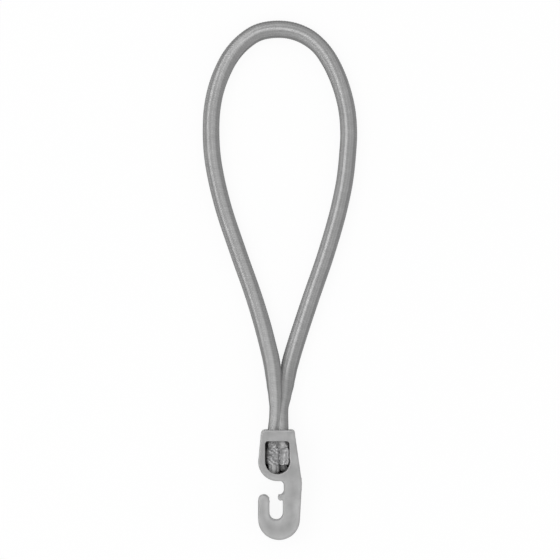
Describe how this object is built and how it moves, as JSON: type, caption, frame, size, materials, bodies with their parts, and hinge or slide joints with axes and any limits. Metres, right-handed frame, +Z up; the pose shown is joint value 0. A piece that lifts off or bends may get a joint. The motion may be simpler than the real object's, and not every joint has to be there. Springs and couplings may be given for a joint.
{
  "type": "bungee cord",
  "caption": "Short elastic cord bent into a loop, with both ends crimped in the pocket of a moulded plastic J-hook, for tying down covers and tarpaulins.",
  "frame": {"origin": "under the middle of the hook, on the table that the part lies on", "axes": "+X across the loop, +Y from the hook to the top of the loop, +Z up from the table"},
  "size_m": [0.0543, 0.1817, 0.011],
  "materials": {
    "plastic": "grey injection-moulded nylon, satin",
    "steel": "galvanised sheet steel, pressed and crinkled",
    "sheath": "grey braided polyester yarn",
    "latex": "natural latex, square-cut thread"
  },
  "bodies": {
    "loop": {"cord_sheath": "sheath", "core_thread_01": "latex", "core_thread_02": "latex", "core_thread_03": "latex", "core_thread_04": "latex", "core_thread_05": "latex", "core_thread_06": "latex", "core_thread_07": "latex", "core_thread_08": "latex", "core_thread_09": "latex", "core_thread_10": "latex", "core_thread_11": "latex", "core_thread_12": "latex", "core_thread_13": "latex", "core_thread_14": "latex", "core_thread_15": "latex", "core_thread_16": "latex", "core_thread_17": "latex", "core_thread_18": "latex", "core_thread_19": "latex", "core_thread_20": "latex", "core_thread_21": "latex"},
    "crimped_end": {"cord_crimp": "steel"},
    "hook": {"hook_body": "plastic"}
  },
  "joints": [
    {"name": "cord_stretch", "type": "slide", "parent": "loop", "child": "crimped_end", "axis": [0, -1, 0], "range_m": [0, 0.12], "stiffness_N_per_m": 900, "deforming": ["cord_sheath", "core_thread_01", "core_thread_02", "core_thread_03", "core_thread_04", "core_thread_05", "core_thread_06", "core_thread_07", "core_thread_08", "core_thread_09", "core_thread_10", "core_thread_11", "core_thread_12", "core_thread_13", "core_thread_14", "core_thread_15", "core_thread_16", "core_thread_17", "core_thread_18", "core_thread_19", "core_thread_20", "core_thread_21"]},
    {"name": "crimp_seat", "type": "slide", "parent": "crimped_end", "child": "hook", "axis": [0, -1, 0], "range_m": [0, 0.0021]}
  ]
}
